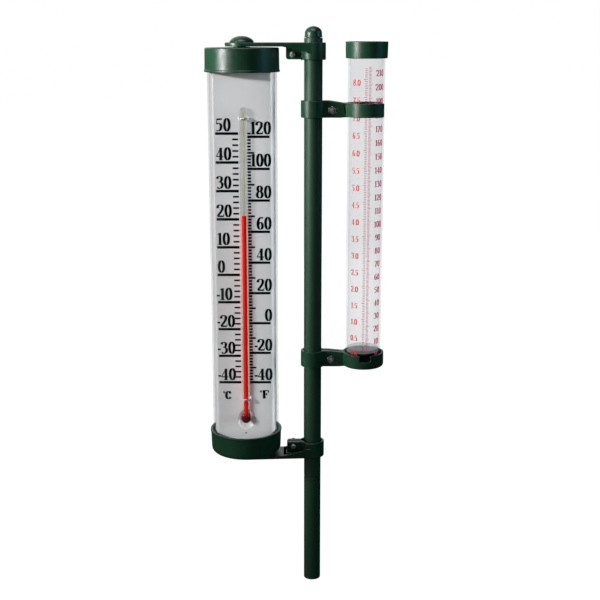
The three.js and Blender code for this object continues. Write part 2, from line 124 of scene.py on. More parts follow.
# The studio, in metres. Each lamp: place, target, width, height, power, colour and width of beam in degrees.
WHITE = (1, 1, 1)
TOP, MIDDLE = (0, 0, 0.44), (0, 0, 0.3)
LAMPS = {
    "side": ((-1.15, -0.33, 0.57), TOP, 0.34, 0.08, 1.35, WHITE, 44),
    "strip": ((-1.05, -0.58, 0.54), TOP, 0.3, 0.12, 1.05, WHITE, 44),
    "overhead": ((-0.1, -0.25, 1.3), TOP, 0.6, 0.4, 4, WHITE, 180),
    "back": ((-0.4, 1.15, 0.6), MIDDLE, 1.4, 0.7, 9, WHITE, 180),
    "fill": ((1.2, -0.3, 0.75), TOP, 0.7, 0.5, 0.35, (0.3, 0.85, 1.0), 60),
    "face": ((-1.0, -0.74, 0.66), MIDDLE, 0.2, 0.08, 15.8, WHITE, 180),
    "wing": ((1.2, -0.17, 0.4), MIDDLE, 0.3, 0.6, 21, WHITE, 180),
}
# The surroundings' colours, each pair from left to right.
LIT = (0.3, 0.3, 0.3, 1), (0.006, 0.008, 0.008, 1)
SIDES = (0.3, 0.31, 0.32, 1), (0.004, 0.03, 0.04, 1)
BACKDROP = (0.95, 0.97, 0.98, 1), (0.02, 0.16, 0.2, 1)
BELOW = (0.02, 0.03, 0.03, 1)
FLOOR = {"half": 6, "dark": 104, "light": 112, "roughness": 0.9, "glow": 0.985}
CAMERA = {"place": (-0.0097, -0.837, 0.4309), "down": 13.5, "lens": 67.68, "sensor": 36, "near": 0.01}


def span(node):
    """Lowest and highest corner of a CAD node, in millimetres."""
    low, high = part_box(node)
    return low / MM, high / MM


Upright = namedtuple("Upright", "x y low high radius")


def upright(node):
    """Axis, ends and outer radius of a CAD node that is round about a vertical axis."""
    low, high = span(node)
    return Upright((low.x + high.x) / 2, (low.y + high.y) / 2, low.z, high.z, (high.x - low.x) / 2)


# ---------------------------------------------------------------- materials

def srgb(red, green, blue):
    """A screen colour of 0 to 255 a channel as the linear colour that shaders take."""
    def linear(value):
        share = value / 255
        return share / 12.92 if share <= 0.04045 else ((share + 0.055) / 1.055) ** 2.4
    return (linear(red), linear(green), linear(blue), 1.0)


def add_node(tree, kind, inputs=None, **settings):
    node = tree.nodes.new("ShaderNode" + kind)
    for key, value in settings.items():
        setattr(node, key, value)
    for key, value in (inputs or {}).items():
        if isinstance(value, bpy.types.NodeSocket):
            tree.links.new(value, node.inputs[key])
        else:
            node.inputs[key].default_value = value
    return node


def new_material(name):
    """A material with its node tree and its Principled shader."""
    material = bpy.data.materials.new(name)
    material.use_nodes = True
    return material, material.node_tree, material.node_tree.nodes["Principled BSDF"]


def noise(tree, scale, detail=3.0, stretch=(1, 1, 1)):
    """A noise value that is fixed to the piece, with features about 1/scale metres across."""
    place = add_node(tree, "TexCoord").outputs["Object"]
    stretched = add_node(tree, "Mapping", {"Vector": place, "Scale": stretch}).outputs["Vector"]
    made = add_node(tree, "TexNoise", {"Vector": stretched, "Scale": scale, "Detail": detail})
    return made.outputs["Fac"]


def spread(tree, value, low, high):
    """The middle of a noise value stretched to run from low to high."""
    inputs = {"Value": value, "From Min": 0.3, "From Max": 0.7, "To Min": low, "To Max": high}
    return add_node(tree, "MapRange", inputs).outputs["Result"]


def mixed_colour(tree, share, first, second):
    mix = add_node(tree, "Mix", data_type="RGBA")
    tree.links.new(share, mix.inputs["Factor"])
    for key, value in (("A", first), ("B", second)):
        socket = next(s for s in mix.inputs if s.name == key and s.type == "RGBA")
        if isinstance(value, bpy.types.NodeSocket):
            tree.links.new(value, socket)
        else:
            socket.default_value = value
    return next(s for s in mix.outputs if s.type == "RGBA")


def bumped(tree, height, depth, strength=1.0):
    inputs = {"Height": height, "Strength": strength, "Distance": depth}
    return add_node(tree, "Bump", inputs).outputs["Normal"]


def green_plastic(name, stretch=(1, 1, 1), roughness=0.33):
    """Glossy dark green moulding: cloudy pigment, a faint orange peel and fine scuffs."""
    material, tree, shader = new_material(name)
    cloud = spread(tree, noise(tree, 45, 3, stretch), 0, 1)
    colour = mixed_colour(tree, cloud, srgb(22, 64, 43), srgb(29, 76, 53))
    scuffs = noise(tree, 260, 6, stretch)
    peel = noise(tree, 1400, 2, stretch)
    tree.links.new(colour, shader.inputs["Base Color"])
    tree.links.new(spread(tree, scuffs, roughness - 0.04, roughness + 0.09), shader.inputs["Roughness"])
    tree.links.new(bumped(tree, peel, 0.00004, 0.5), shader.inputs["Normal"])
    shader.inputs["IOR"].default_value = 1.52
    return material


def blend_shaders(tree, share, first, second):
    """Makes a blend of two shaders the material's surface: all first at a share of 0."""
    mix = add_node(tree, "MixShader", {0: share, 1: first.outputs[0], 2: second.outputs[0]})
    tree.links.new(mix.outputs[0], tree.nodes["Material Output"].inputs["Surface"])


def clear_plastic(name, shade, haze):
    """Thin clear moulding: what is behind shows through, hazier at the edges. Extra haze on the level ends
    is painted light that makes the tube's floor read lighter.
    """
    material, tree, shader = new_material(name)
    flow = noise(tree, 60, 2, (1, 1, 0.06))
    scratches = noise(tree, 900, 4, (1, 1, 0.1))
    shader.inputs["Base Color"].default_value = srgb(206, 208, 212)
    shader.inputs["IOR"].default_value = 1.49
    tree.links.new(spread(tree, scratches, 0.05, 0.16), shader.inputs["Roughness"])
    tree.links.new(bumped(tree, flow, 0.0002, 0.35), shader.inputs["Normal"])
    facing = add_node(tree, "LayerWeight", {"Blend": 0.15}).outputs["Facing"]
    drawn = spread(tree, flow, 0.8, 1.2)
    edge = add_node(tree, "Math", {0: facing, 1: haze}, operation="MULTIPLY").outputs[0]
    # Painted light: level faces get more of the pale haze, so the tube's floor reads lighter.
    upward = add_node(tree, "SeparateXYZ", {0: add_node(tree, "NewGeometry").outputs["Normal"]}).outputs["Z"]
    level = add_node(tree, "Math", {0: upward}, operation="ABSOLUTE").outputs[0]
    most, least = 0.4, 0.02
    painted_level_light = add_node(tree, "Math", {0: level, 1: most, 2: least}, operation="MULTIPLY_ADD").outputs[0]
    share = add_node(tree, "Math", {0: edge, 1: drawn, 2: painted_level_light}, operation="MULTIPLY_ADD").outputs[0]
    clear = add_node(tree, "BsdfTransparent", {"Color": (*shade, 1)})
    blend_shaders(tree, share, clear, shader)
    return material


def capillary_glass_material():
    """Fine glass, drawn with faint lengthwise streaks, a little cream in colour."""
    material, tree, shader = new_material("drawn_glass")
    streaks = spread(tree, noise(tree, 300, 2, (1, 1, 0.05)), 0, 1)
    cream = mixed_colour(tree, streaks, srgb(232, 231, 219), srgb(244, 243, 235))
    tree.links.new(cream, shader.inputs["Base Color"])
    shader.inputs["Transmission Weight"].default_value = 1.0
    shader.inputs["Roughness"].default_value = 0.02
    shader.inputs["IOR"].default_value = 1.47
    path = add_node(tree, "LightPath").outputs
    lit = add_node(tree, "Math", {0: path["Is Shadow Ray"], 1: path["Is Diffuse Ray"]}, operation="MAXIMUM")
    clear = add_node(tree, "BsdfTransparent", {"Color": (0.8, 0.8, 0.8, 1)})
    blend_shaders(tree, lit.outputs[0], shader, clear)
    return material


def spirit_material():
    """Red spirit, darker where the bulb gathers it, with a little painted glow that makes it brighter than
    the lamps light it.
    """
    material, tree, shader = new_material("red_spirit")
    along = add_node(tree, "SeparateXYZ", {0: add_node(tree, "TexCoord").outputs["Generated"]})
    ramp = add_node(tree, "MapRange", {"Value": along.outputs["Z"], "From Min": 0.03, "From Max": 0.05})
    colour = mixed_colour(tree, ramp.outputs["Result"], srgb(96, 4, 10), srgb(250, 36, 18))
    cloud = spread(tree, noise(tree, 500, 2), 0.0, 0.14)
    tree.links.new(mixed_colour(tree, cloud, colour, srgb(200, 14, 10)), shader.inputs["Base Color"])
    shader.inputs["Roughness"].default_value = 0.5
    shader.inputs["Specular IOR Level"].default_value = 0.0
    # Painted glow: the spirit gives off its own colour as light, though it is no lamp.
    tree.links.new(colour, shader.inputs["Emission Color"])
    shader.inputs["Emission Strength"].default_value = 0.3
    return material


def plate_material():
    """Thin white plastic sheet, cloudy and faintly grained, that lets a little light through."""
    material, tree, shader = new_material("white_lacquer")
    cloud = spread(tree, noise(tree, 22, 3), 0, 1)
    colour = mixed_colour(tree, cloud, srgb(232, 231, 231), srgb(241, 240, 240))
    grain = noise(tree, 700, 3, (1, 1, 0.15))
    tree.links.new(colour, shader.inputs["Base Color"])
    tree.links.new(spread(tree, grain, 0.34, 0.46), shader.inputs["Roughness"])
    tree.links.new(bumped(tree, grain, 0.00003, 0.4), shader.inputs["Normal"])
    through = add_node(tree, "BsdfTranslucent", {"Color": colour})
    share_through = 0.1
    blend_shaders(tree, share_through, shader, through)
    return material


def ink(name, colour, worn, glow=0.0):
    """Screen printed ink, slightly uneven in cover. Its glow stands for light that comes through it."""
    material, tree, shader = new_material(name)
    cover = spread(tree, noise(tree, 1800, 4), 0, 1)
    tree.links.new(mixed_colour(tree, cover, colour, worn), shader.inputs["Base Color"])
    tree.links.new(spread(tree, cover, 0.4, 0.6), shader.inputs["Roughness"])
    shader.inputs["Specular IOR Level"].default_value = 0.0
    shader.inputs["Emission Color"].default_value = colour
    shader.inputs["Emission Strength"].default_value = glow
    return material


def plated_steel(name, colour, roughness, metallic):
    """Dull plated steel with fine turning marks and a little tarnish."""
    material, tree, shader = new_material(name)
    marks = noise(tree, 2500, 3, (1, 0.15, 1))
    tarnish = spread(tree, noise(tree, 350, 4), 0, 1)
    tree.links.new(mixed_colour(tree, tarnish, colour, srgb(150, 148, 142)), shader.inputs["Base Color"])
    tree.links.new(spread(tree, marks, roughness, roughness + 0.2), shader.inputs["Roughness"])
    tree.links.new(bumped(tree, marks, 0.00002, 0.6), shader.inputs["Normal"])
    shader.inputs["Metallic"].default_value = metallic
    return material


MOULDED = green_plastic("moulded_green")
EXTRUDED = green_plastic("extruded_green", (1, 1, 0.04), 0.5)
TUBE_CLEAR = clear_plastic("clear_tube", (0.975, 0.975, 0.977), 0.4)
GAUGE_CLEAR = clear_plastic("clear_gauge", (0.935, 0.935, 0.938), 0.22)
DRAWN_GLASS = capillary_glass_material()
SPIRIT_RED = spirit_material()
LACQUER = plate_material()
BLACK_INK = ink("black_ink", srgb(3, 3, 5), srgb(14, 14, 18))
ORANGE_INK = ink("orange_red_ink", srgb(222, 44, 34), srgb(232, 84, 70))
CRIMSON_INK = ink("crimson_ink", srgb(212, 58, 108), srgb(226, 96, 138), 0.4)
STEEL = plated_steel("plated_steel", srgb(234, 232, 226), 0.25, 0.45)
# Painted shade: a darker, faintly green copy of the plated steel for the nuts, standing for the shade of
# their seats in the ears and the green plastic they reflect.
SHADED_STEEL = plated_steel("shaded_steel", srgb(150, 158, 152), 0.25, 0.7)


# ---------------------------------------------------------------- outlines

def corner_arc(before, here, after, radius):
    """Points of the arc that rounds the corner at here."""
    back = (before - here).normalized()
    ahead = (after - here).normalized()
    half = back.angle(ahead) / 2
    centre = here + (back + ahead).normalized() * (radius / math.sin(half))
    start = here + back * (radius / math.tan(half)) - centre
    end = here + ahead * (radius / math.tan(half)) - centre
    turn = math.pi - 2 * half
    steps = max(2, math.ceil(turn / ARC_STEP))
    points = []
    for i in range(steps + 1):
        share = i / steps
        points.append(centre + (start * math.sin((1 - share) * turn) + end * math.sin(share * turn))
                      / math.sin(turn))
    return points


def rounded(corners):
    """A polyline from corners (a, b) or (a, b, radius): a corner with a radius becomes an arc."""
    points = []
    for i, corner in enumerate(corners):
        here = Vector(corner[:2])
        if len(corner) == 2:
            points.append(here)
            continue
        before = Vector(corners[i - 1][:2])
        after = Vector(corners[(i + 1) % len(corners)][:2])
        points += corner_arc(before, here, after, corner[2])
    return points


def arc(centre, radii, start, end, steps):
    """Points of an ellipse's arc, from start to end in degrees."""
    points = []
    for i in range(steps + 1):
        angle = math.radians(start + (end - start) * i / steps)
        across, up = radii[0] * math.cos(angle), radii[1] * math.sin(angle)
        points.append(Vector((centre[0] + across, centre[1] + up)))
    return points


def dome(radius, base, height, steps=10):
    """Half an arch from its foot at the given radius to its crown on the axis."""
    points = arc((0, base), (radius, height), 0, 90, steps)
    points[-1].x = 0.0
    return points


# ---------------------------------------------------------------- solids

def as_object(bm):
    bmesh.ops.recalc_face_normals(bm, faces=bm.faces)
    mesh = bpy.data.meshes.new("solid")
    bm.to_mesh(mesh)
    bm.free()
    made = bpy.data.objects.new("solid", mesh)
    bpy.context.scene.collection.objects.link(made)
    return made


def lathe(profile, facets):
    """(radius, z) points turned about Z. They start and end on the axis, or close on themselves."""
    bm = bmesh.new()
    rings = []
    for radius, z in profile:
        count = facets if radius > 1e-6 else 1
        turns = [2 * math.pi * i / facets for i in range(count)]
        rings.append([bm.verts.new((radius * math.sin(a), -radius * math.cos(a), z)) for a in turns])
    pairs = list(zip(rings, rings[1:]))
    if len(rings[0]) > 1:
        pairs.append((rings[-1], rings[0]))
    for low, high in pairs:
        for i in range(facets):
            j = (i + 1) % facets
            corners = (low[i % len(low)], low[j % len(low)], high[j % len(high)], high[i % len(high)])
            bm.faces.new(list(dict.fromkeys(corners)))
    return as_object(bm)


def prism(outline, low, high, plane="XY"):
    """A closed solid: an outline in X and Y raised along Z, or one in X and Z run along Y."""
    bm = bmesh.new()

    def loop(depth):
        if plane == "XY":
            return [bm.verts.new((p[0], p[1], depth)) for p in outline]
        return [bm.verts.new((p[0], depth, p[1])) for p in outline]

    near, far = loop(low), loop(high)
    bm.faces.new(near)
    bm.faces.new(far)
    for i in range(len(outline)):
        j = (i + 1) % len(outline)
        bm.faces.new((near[i], near[j], far[j], far[i]))
    return as_object(bm)


def box(low, high):
    outline = [(low[0], low[1]), (high[0], low[1]), (high[0], high[1]), (low[0], high[1])]
    return prism(outline, low[2], high[2])


def disc(radius, low, high, facets=FINE):
    return lathe([(0, low), (radius, low), (radius, high), (0, high)], facets)


def cross_rod(radius, x, z, front, back, facets=SMALL):
    """A rod along Y. With six facets it is a hexagon with a corner at the top."""
    outline = []
    for i in range(facets):
        angle = math.tau * i / facets
        outline.append((x + radius * math.sin(angle), z + radius * math.cos(angle)))
    return prism(outline, front, back, "XZ")


def moved(solid, x=0.0, y=0.0, z=0.0, turn=None):
    """Moves a solid's mesh, after turning it about the origin."""
    solid.data.transform(Matrix.Translation((x, y, z)) @ (turn or Matrix.Identity(4)))
    return solid


def turned(degrees, axis):
    return Matrix.Rotation(math.radians(degrees), 4, axis)


def settle(solid):
    """Applies a solid's modifiers."""
    graph = bpy.context.evaluated_depsgraph_get()
    mesh = bpy.data.meshes.new_from_object(solid.evaluated_get(graph))
    solid.modifiers.clear()
    solid.data = mesh
    return solid


def combine(base, tool, operation):
    step = base.modifiers.new("combine", "BOOLEAN")
    step.operation = operation
    step.solver = "EXACT"
    step.object = tool
    settle(base)
    bpy.data.objects.remove(tool)
    return base


def join(base, *tools):
    for tool in tools:
        combine(base, tool, "UNION")
    return base


def cut(base, *tools):
    for tool in tools:
        combine(base, tool, "DIFFERENCE")
    return base


def eased(solid, width=EASE, segments=3):
    """Rounds a solid's sharp edges, as a mould does."""
    bm = bmesh.new()
    bm.from_mesh(solid.data)
    bmesh.ops.remove_doubles(bm, verts=bm.verts, dist=0.01)
    bmesh.ops.dissolve_limit(bm, angle_limit=math.radians(0.5), verts=bm.verts, edges=bm.edges)
    bm.to_mesh(solid.data)
    bm.free()
    ease = solid.modifiers.new("ease", "BEVEL")
    ease.width = width
    ease.segments = segments
    ease.limit_method = "ANGLE"
    ease.angle_limit = math.radians(38)
    ease.use_clamp_overlap = False
    return settle(solid)


# ---------------------------------------------------------------- pieces

def show(solid, name, material, body, nodes=()):
    """Turns a solid into a finished piece: in metres, smooth, riding on its body."""
    solid.name = name
    solid.data.name = name
    solid.data.transform(Matrix.Scale(MM, 4))
    solid.data.materials.clear()
    solid.data.materials.append(material)
    for face in solid.data.polygons:
        face.use_smooth = True
    solid.data.set_sharp_from_angle(angle=SMOOTH_ANGLE)
    normals = solid.modifiers.new("weighted_normals", "WEIGHTED_NORMAL")
    normals.keep_sharp = True
    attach(solid, body)
    if nodes:
        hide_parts(*nodes)


def show_part(solid, node, material, body):
    """A piece that takes the place of one node."""
    show(solid, node + "_part", material, body, [node])


def show_green(solid, node, body, material=MOULDED):
    show_part(solid, node, material, body)


# ---------------------------------------------------------------- pole

def pipe(tube, wall, edge, facets):
    """A plain tube with rounded ends, round its own axis."""
    inner = tube.radius - wall
    return lathe(rounded([
        (inner, tube.low, edge), (tube.radius, tube.low, edge),
        (tube.radius, tube.high, edge), (inner, tube.high, edge),
    ]), facets)


def build_pole():
    tubes = {"pole_upper": upright("pole_upper"), "pole_lower": upright("pole_lower")}
    for node, tube in tubes.items():
        show_green(pipe(tube, POLE["wall"], POLE["edge"], FINE), node, "pole", EXTRUDED)
    show_green(coupler(tubes["pole_upper"].low, tubes["pole_lower"].high), "pole_coupler", "pole", EXTRUDED)
    show_green(pole_cap(), "pole_cap", "pole")


def coupler(upper_end, lower_end):
    """The neck between the two tubes, with its plugs."""
    whole = upright("pole_coupler")
    low, high, edge = lower_end + FIT, upper_end - FIT, COUPLER["edge"]
    return lathe(rounded([
        (COUPLER["bore"], whole.low, 0.3), (COUPLER["plug_low"], whole.low, 0.6),
        (COUPLER["plug_low"], low), (whole.radius, low, edge),
        (whole.radius, high, edge), (COUPLER["plug_high"], high),
        (COUPLER["plug_high"], whole.high, 0.6), (COUPLER["bore"], whole.high, 0.3),
    ]), FINE)


def pole_cap():
    """A domed plug with a thin lip where it meets the tube."""
    whole = upright("pole_cap")
    foot = whole.low + POLE["cap_plug"]
    shoulder = foot + POLE["cap_straight"]
    side = whole.radius - POLE["cap_lip"]
    body = rounded([
        (0, whole.low), (COUPLER["plug_high"], whole.low, 0.6), (COUPLER["plug_high"], foot),
        (whole.radius, foot, 0.1), (whole.radius, foot + 0.9, 0.3), (side, foot + 1.3),
    ])
    return lathe(body + dome(side, shoulder, whole.high - shoulder, 14), FINE)


# ---------------------------------------------------------------- clamp collars

def collar():
    return disc(COLLAR["radius"], 0, COLLAR["height"])


def collar_bore():
    return disc(COLLAR["bore"], -OVER, COLLAR["height"] + OVER)


def link_outline(far_x, far_radius, root_radius):
    """Two circles on the X axis and the tangents that join them."""
    lean = math.degrees(math.acos((far_radius - root_radius) / abs(far_x)))
    root = arc((0, 0), (root_radius, root_radius), -lean, lean, 20)
    far = arc((far_x, 0), (far_radius, far_radius), lean, 360 - lean, 44)
    return root + far


def thermometer_bracket():
    """A flat strap with an eye, flanges along its edges and two clamp ears below."""
    far_x = upright("thermometer_tube").x
    under = COLLAR["height"] - STRAP["thick"]
    outline = link_outline(far_x, STRAP["eye"], STRAP["root"])
    strap = prism(outline, under, COLLAR["height"])
    edges = prism(outline, 0, under + LAP)
    inside = link_outline(far_x, STRAP["eye"] - STRAP["flange"], STRAP["root"] - STRAP["flange"])
    edges = cut(edges, prism(inside, -OVER, COLLAR["height"] + OVER))
    wedge = [(-STRAP["flange_reach"], under + LAP), (0, under - STRAP["flange_depth"]), (0, under + LAP)]
    edges = combine(edges, prism(wedge, -20, 20, "XZ"), "INTERSECT")
    ear = rounded([
        (-STRAP["ear_reach"], EARS["low"], EARS["corner"]), (-COLLAR["bore"], EARS["low"]),
        (-COLLAR["bore"], under + LAP), (-STRAP["ear_reach"], under + LAP),
    ])
    ears = prism(ear, -EARS["half"], EARS["half"], "XZ")
    made = join(strap, collar(), edges, ears)
    slot = box((-STRAP["ear_reach"] - OVER, -COLLAR["slot"] / 2, -OVER), (0, COLLAR["slot"] / 2, under))
    hole = moved(disc(STRAP["hole"], -OVER, COLLAR["height"] + OVER, SMALL), x=far_x)
    screw_hole = cross_rod(SCREW["hole"], STRAP_SCREW["x"], STRAP_SCREW["z"], -10, 10)
    return eased(cut(made, collar_bore(), slot, hole, screw_hole))


def gauge_arm(holder, holder_top, gauge_x):
    """Two clamp ears that carry a holder, with a hexagonal seat for the nut."""
    end = gauge_x - CLIP["bore"] + OVER
    side = rounded([
        (COLLAR["bore"], 0), (CLIP["slot_end"], 0), (end, CLIP["low"]), (end, holder_top),
        (CLIP["slot_end"] + 2, holder_top, CLIP["blend"]), (CLIP["flat_x"], COLLAR["height"], CLIP["blend"]),
        (COLLAR["bore"], COLLAR["height"]),
    ])
    arm = prism(side, -EARS["half"], EARS["half"], "XZ")
    half_slot, top = COLLAR["slot"] / 2, COLLAR["height"] + OVER
    slot = box((0, -half_slot, -OVER), (CLIP["slot_end"], half_slot, top))
    screw_hole = cross_rod(SCREW["hole"], CLIP_SCREW["x"], CLIP_SCREW["z"], -10, 10)
    seat_radius = (NUT["flats"] / 2 + FIT) / math.cos(math.pi / 6)
    seat_floor = -EARS["half"] + NUT["height"]
    seat = cross_rod(seat_radius, CLIP_SCREW["x"], CLIP_SCREW["z"], -10, seat_floor, 6)
    space = moved(disc(CLIP["bore"], CUP["low"] + CUP["floor"], top), x=gauge_x)
    return cut(join(arm, collar(), holder), space, collar_bore(), slot, screw_hole, seat)


def gauge_upper_bracket(gauge_x):
    """A springy C round the tube, open on the side away from the pole."""
    band = moved(disc(CLIP["ring"], CLIP["low"], CLIP["high"], ROUND), x=gauge_x)
    reach = 2 * CLIP["ring"]
    rise = reach * math.tan(math.radians(CLIP["opening"]))
    opening = [(gauge_x, 0), (gauge_x + reach, -rise), (gauge_x + reach, rise)]
    gap = prism(opening, -OVER, COLLAR["height"] + OVER)
    through = moved(disc(CLIP["bore"], -OVER, COLLAR["height"], FINE), x=gauge_x)
    return eased(cut(gauge_arm(band, CLIP["high"], gauge_x), through, gap), BRACKET_EASE)


def gauge_lower_bracket(gauge_x):
    """A cup with a drain hole, a rounded foot and a notch in its rim."""
    outside = rounded([
        (0, CUP["low"]), (CUP["radius"], CUP["low"], CUP["edge"]), (CUP["radius"], CUP["high"]),
        (0, CUP["high"]),
    ])
    cup = moved(lathe(outside, ROUND), x=gauge_x)
    floor_top = CUP["low"] + CUP["floor"]
    mouth = CUP["drain"] + CUP["flare"] + OVER
    drain = lathe([
        (0, CUP["low"] - OVER), (mouth, CUP["low"] - OVER),
        (CUP["drain"], CUP["low"] + CUP["flare"]), (CUP["drain"], floor_top - CUP["flare"]),
        (mouth, floor_top + OVER), (0, floor_top + OVER),
    ], SMALL)
    half, top = NOTCH["width"] / 2, CUP["high"]
    notch = prism(rounded([
        (-half, top - NOTCH["depth"], NOTCH["corner"]), (half, top - NOTCH["depth"], NOTCH["corner"]),
        (half, top + 2), (-half, top + 2),
    ]), -CUP["radius"] - 2, -CUP["radius"] + 6, "XZ")
    notch = moved(notch, x=gauge_x, turn=turned(NOTCH["turn"], "Z"))
    bracket = eased(cut(gauge_arm(cup, CUP["high"], gauge_x), notch), BRACKET_EASE)
    return cut(bracket, moved(drain, x=gauge_x))


# ---------------------------------------------------------------- fasteners

def threaded_rod(length):
    """A rod along Z with a real helical thread and closed ends."""
    facets, rows_per_turn = 24, 6
    rows = round(length / SCREW["pitch"] * rows_per_turn)
    bm = bmesh.new()
    rings = []
    for row in range(rows + 1):
        z = length * row / rows
        ring = []
        for i in range(facets):
            angle = math.tau * i / facets
            wave = 0.5 - 0.5 * math.cos(math.tau * z / SCREW["pitch"] - angle)
            radius = SCREW["shank"] - SCREW["thread"] * wave
            ring.append(bm.verts.new((radius * math.cos(angle), radius * math.sin(angle), z)))
        rings.append(ring)
    for low, high in zip(rings, rings[1:]):
        for i in range(facets):
            j = (i + 1) % facets
            bm.faces.new((low[i], low[j], high[j], high[i]))
    bm.faces.new(rings[0])
    bm.faces.new(rings[-1])
    return as_object(bm)


def pan_head_screw(length):
    """Head below zero with a cross recess, shank above."""
    head, height, rim = SCREW["head"], SCREW["head_height"], SCREW["rim"]
    crown = [Vector((point.x, -rim - point.y)) for point in dome(head, 0, height - rim)]
    made = lathe([(0, 0.05), (head - 0.2, 0.05)] + crown, SMALL)
    reach, half = SCREW["cross_reach"], SCREW["cross_half"]
    for degrees in (0, 90):
        bar = box((-reach, -half, -height - OVER), (reach, half, SCREW["cross_depth"] - height))
        made = cut(made, moved(bar, turn=turned(degrees, "Z")))
    made = cut(made, disc(SCREW["pit"], -height - OVER, SCREW["pit_depth"] - height, SMALL))
    return join(eased(made, 0.08, 2), threaded_rod(length))


def hexagon_nut():
    """A nut along Y with turned-down corners and a countersunk hole."""
    corner = NUT["flats"] / 2 / math.cos(math.pi / 6)
    height, crown, bore = NUT["height"], NUT["crown"], NUT["bore"]
    blank = cross_rod(corner, 0, 0, 0, height, 6)
    flat = NUT["flats"] / 2 * NUT["face"]
    barrel = lathe([
        (0, 0), (flat, 0), (corner, crown), (corner, height - crown), (flat, height), (0, height),
    ], FINE)
    barrel = moved(barrel, y=height, turn=turned(90, "X"))
    mouth = bore + NUT["flare"]
    hole = lathe([
        (0, -OVER), (mouth, -OVER), (bore, 0.3), (bore, height - 0.3),
        (mouth, height + OVER), (0, height + OVER),
    ], SMALL)
    hole = moved(hole, y=height, turn=turned(90, "X"))
    return eased(cut(combine(blank, barrel, "INTERSECT"), hole), 0.06, 2)


def show_fasteners(body, prefix, head_in_front):
    """The clamp screw and nut of one collar, at their CAD nodes' places."""
    screw_low, screw_high = span(prefix + "_clamp_screw")
    nut_low, nut_high = span(prefix + "_clamp_nut")
    x, z = (screw_low.x + screw_high.x) / 2, (screw_low.z + screw_high.z) / 2
    screw = pan_head_screw(screw_high.y - screw_low.y - SCREW["head_height"])
    if head_in_front:
        y, turn = screw_low.y + SCREW["head_height"], turned(-90, "X") @ turned(22, "Z")
    else:
        y, turn = screw_high.y - SCREW["head_height"], turned(90, "X") @ turned(35, "Z")
    screw = moved(screw, x, y, z, turn)
    nut = moved(hexagon_nut(), (nut_low.x + nut_high.x) / 2, nut_low.y, (nut_low.z + nut_high.z) / 2)
    show_part(screw, prefix + "_clamp_screw", STEEL, body)
    show_part(nut, prefix + "_clamp_nut", SHADED_STEEL, body)


def build_thermometer_arms():
    upper, lower = "thermometer_upper_bracket", "thermometer_lower_bracket"
    show_green(moved(thermometer_bracket(), z=span(upper)[0].z), upper, "thermometer_arms")
    upside_down = moved(thermometer_bracket(), z=span(lower)[1].z, turn=turned(180, "X"))
    show_green(upside_down, lower, "thermometer_arms")
    for prefix in ("thermometer_upper", "thermometer_lower"):
        show_fasteners("thermometer_arms", prefix, head_in_front=True)


def build_gauge_brackets():
    gauge_x = upright("gauge_tube").x
    makers = {"gauge_upper_bracket": gauge_upper_bracket, "gauge_lower_bracket": gauge_lower_bracket}
    for node, maker in makers.items():
        show_green(moved(maker(gauge_x), z=span(node)[0].z), node, "gauge_brackets")
    for prefix in ("gauge_upper", "gauge_lower"):
        show_fasteners("gauge_brackets", prefix, head_in_front=False)


# ---------------------------------------------------------------- thermometer

def thermometer_cap(height, rim, skirt, style):
    """A cap that opens downwards: beaded rim, drafted side, hub inside and low boss outside."""
    ceiling = height - CAP["wall"]
    side = rim - CAP["bead"]
    end = side - style["draft"]
    return lathe(rounded([
        (CAP["hub_hole"], CAP["hub_depth"], 0.3), (CAP["hub"], CAP["hub_depth"], 0.5),
        (CAP["hub"], ceiling, 0.8), (skirt, ceiling, 0.8), (skirt, 0, 0.3),
        (rim, 0, 0.35), (rim, CAP["bead_low"], 0.35),
        (side, CAP["bead_high"], 0.5), (end, height, style["edge"]),
        (CAP["boss"], height, 0.25), (CAP["boss"], height + style["boss"], 0.2),
        (CAP["hub_hole"], height + style["boss"], 0.2),
    ]), ROUND)


def pivot_button(height):
    """A domed head above zero and a shank below."""
    start = math.radians(BUTTON["start"])
    rise = (height - BUTTON["rim"]) / (1 - math.sin(start))
    head = arc((0, height - rise), (BUTTON["radius"] / math.cos(start), rise), BUTTON["start"], 90, 14)
    head[-1].x = 0.0
    return lathe(rounded([
        (0, -BUTTON["shank_length"]), (BUTTON["shank"], -BUTTON["shank_length"], 0.8),
        (BUTTON["shank"], 0, 0.3), (BUTTON["radius"], 0, 0.25),
    ]) + head, FINE)


def ellipsoid(x, y, z, radii):
    ball = lathe([(0, -1)] + arc((0, 0), (1, 1), -80, 80, 16) + [(0, 1)], FINE)
    return moved(ball, x, y, z, Matrix.Diagonal((*radii, 1)))


